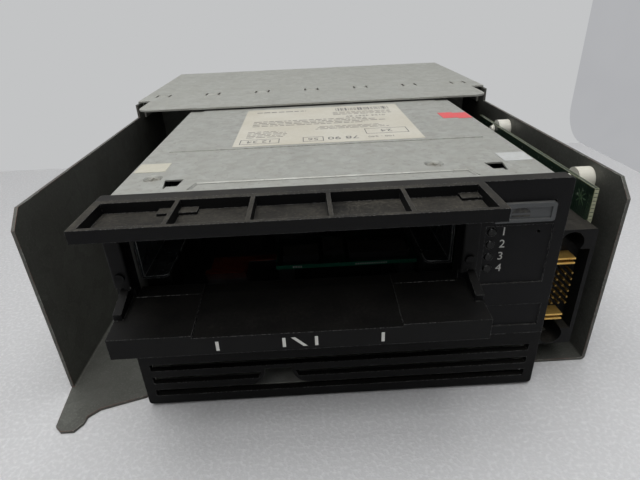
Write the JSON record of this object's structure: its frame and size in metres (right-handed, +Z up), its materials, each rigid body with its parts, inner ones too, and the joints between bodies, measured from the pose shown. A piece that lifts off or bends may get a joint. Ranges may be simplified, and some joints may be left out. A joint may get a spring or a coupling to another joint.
{
  "type": "data tape drive",
  "caption": "Full-height cartridge tape drive with a moulded cartridge funnel, carried in an open sheet-metal library sled with a blind-mate connector.",
  "frame": {"origin": "middle of the tray floor's underside", "axes": "+Z up; +Y from the cartridge slot to the rear panel; +X to the right as seen from the front"},
  "size_m": [0.2372, 0.3257, 0.087],
  "materials": {
    "galvanised_sheet": "zinc-coated sheet with faint spangle",
    "zinc_cover": "zinc-coated sheet, slightly warm",
    "drive_case": "plated drive sheet, satin",
    "black_plastic": "moulded black, fine grain",
    "black_connector": "glass-filled black",
    "button_plastic": "dark grey moulded",
    "white_nylon": "natural nylon",
    "screw_steel": "zinc-plated screw",
    "axle_steel": "ground steel",
    "knob_metal": "knurled, nickel-plated",
    "handle_metal": "black powder coat",
    "contact_metal": "gold-flashed contact",
    "board_green": "solder-masked laminate",
    "chip_black": "epoxy package",
    "port_metal": "nickel-plated shell",
    "deck_casting": "cast, machined top",
    "carriage_steel": "bright zinc",
    "gear_plastic": "acetal",
    "motor_steel": "plated motor can",
    "chuck_plastic": "filled nylon",
    "reel_plastic": "moulded reel",
    "roller_ceramic": "hard-anodised roller",
    "head_ceramic": "lapped ferrite",
    "flex_amber": "polyimide film",
    "lamp_clear": "clear moulded light guide",
    "label_paper": "matt label, yellowed",
    "sticker_paper": "matt sticker"
  },
  "bodies": {
    "sled": {"sled_tray": "galvanised_sheet", "rear_cover": "zinc_cover", "rear_panel": "galvanised_sheet", "bulkhead_left": "galvanised_sheet", "bulkhead_right": "galvanised_sheet", "case_screws": "screw_steel", "fan_frame": "black_plastic", "panel_screws": "screw_steel", "pull_handle": "handle_metal", "thumbscrew_ferrules": "knob_metal", "data_connectors": "port_metal", "jack_screws": "screw_steel", "interface_board": "board_green", "board_standoffs": "white_nylon", "board_chips": "chip_black", "blind_mate_housing": "black_connector", "power_blades": "contact_metal", "signal_pins": "contact_metal", "drive_mounting_screws": "screw_steel", "drive_chassis": "drive_case", "drive_top_cover": "drive_case", "top_cover_screws": "screw_steel", "drive_rear_plate": "drive_case", "drive_rear_connectors": "port_metal", "bezel": "black_plastic", "vent_panel": "black_plastic", "funnel_lip": "black_plastic", "funnel_ramp": "black_plastic", "funnel_posts": "black_plastic", "funnel_screws": "screw_steel", "eject_switch": "chip_black", "front_board": "board_green", "status_lights": "lamp_clear", "deck_plate": "deck_casting", "sensor_board": "board_green", "flex_strip": "flex_amber", "axle_pins": "axle_steel", "loader_motor": "motor_steel", "reel_motors": "motor_steel", "head_shafts": "axle_steel", "main_board": "board_green", "main_board_chips": "chip_black", "rating_label": "label_paper", "stickers": "sticker_paper"},
    "fan_rotor": {"fan_rotor": "black_plastic"},
    "thumbscrew_left": {"thumbscrew_left": "knob_metal"},
    "thumbscrew_right": {"thumbscrew_right": "knob_metal"},
    "eject_button": {"eject_button": "button_plastic"},
    "loader_carriage": {"loader_carriage": "carriage_steel"},
    "loader_gear": {"loader_gear": "gear_plastic"},
    "loader_motor_gear": {"loader_motor_gear": "gear_plastic"},
    "drive_chuck": {"drive_chuck": "chuck_plastic"},
    "takeup_reel": {"takeup_reel": "reel_plastic"},
    "tape_head": {"head_carriage": "deck_casting", "tape_head": "head_ceramic"},
    "guide_roller_1": {"guide_roller_1": "roller_ceramic"},
    "guide_roller_2": {"guide_roller_2": "roller_ceramic"},
    "guide_roller_3": {"guide_roller_3": "roller_ceramic"},
    "guide_roller_4": {"guide_roller_4": "roller_ceramic"}
  },
  "joints": [
    {"name": "eject_button_press", "type": "slide", "parent": "sled", "child": "eject_button", "axis": [0, 1, 0], "range_m": [0, 0.0009], "stiffness_N_per_m": 800},
    {"name": "fan_rotor_spin", "type": "hinge", "parent": "sled", "child": "fan_rotor", "pos_m": [-0.058, 0.123, 0.043], "axis": [0, 1, 0], "continuous": true},
    {"name": "thumbscrew_left_turn", "type": "hinge", "parent": "sled", "child": "thumbscrew_left", "pos_m": [-0.1126, 0.133, 0.043], "axis": [0, 1, 0], "continuous": true},
    {"name": "thumbscrew_right_turn", "type": "hinge", "parent": "sled", "child": "thumbscrew_right", "pos_m": [0.1126, 0.133, 0.043], "axis": [0, 1, 0], "continuous": true},
    {"name": "carriage_slide", "type": "slide", "parent": "sled", "child": "loader_carriage", "axis": [0, 1, 0], "range_m": [0, 0.014]},
    {"name": "loader_gear_turn", "type": "hinge", "parent": "sled", "child": "loader_gear", "pos_m": [0.05665, -0.055, 0.06], "axis": [0, 0, 1], "range_deg": [-100.4, 0]},
    {"name": "loader_motor_turn", "type": "hinge", "parent": "sled", "child": "loader_motor_gear", "pos_m": [0.06465, -0.04114, 0.042], "axis": [0, 0, 1], "range_deg": [0, 186.4]},
    {"name": "drive_chuck_spin", "type": "hinge", "parent": "sled", "child": "drive_chuck", "pos_m": [-0.01035, -0.08, 0.0506], "axis": [0, 0, 1], "continuous": true},
    {"name": "takeup_reel_spin", "type": "hinge", "parent": "sled", "child": "takeup_reel", "pos_m": [0.02565, 0.017, 0.043], "axis": [0, 0, 1], "continuous": true},
    {"name": "guide_roller_1_spin", "type": "hinge", "parent": "sled", "child": "guide_roller_1", "pos_m": [-0.04435, -0.014, 0.043], "axis": [0, 0, 1], "continuous": true},
    {"name": "guide_roller_2_spin", "type": "hinge", "parent": "sled", "child": "guide_roller_2", "pos_m": [-0.05635, -0.002, 0.043], "axis": [0, 0, 1], "continuous": true},
    {"name": "guide_roller_3_spin", "type": "hinge", "parent": "sled", "child": "guide_roller_3", "pos_m": [-0.05635, 0.028, 0.043], "axis": [0, 0, 1], "continuous": true},
    {"name": "guide_roller_4_spin", "type": "hinge", "parent": "sled", "child": "guide_roller_4", "pos_m": [-0.04335, 0.043, 0.043], "axis": [0, 0, 1], "continuous": true},
    {"name": "head_lift", "type": "slide", "parent": "sled", "child": "tape_head", "axis": [0, 0, 1], "range_m": [-0.0035, 0.0035]}
  ],
  "couplings": [
    {"joint": "loader_gear_turn", "follows": "carriage_slide", "rad_per_m": -125},
    {"joint": "loader_motor_turn", "follows": "carriage_slide", "rad_per_m": 232.14}
  ]
}
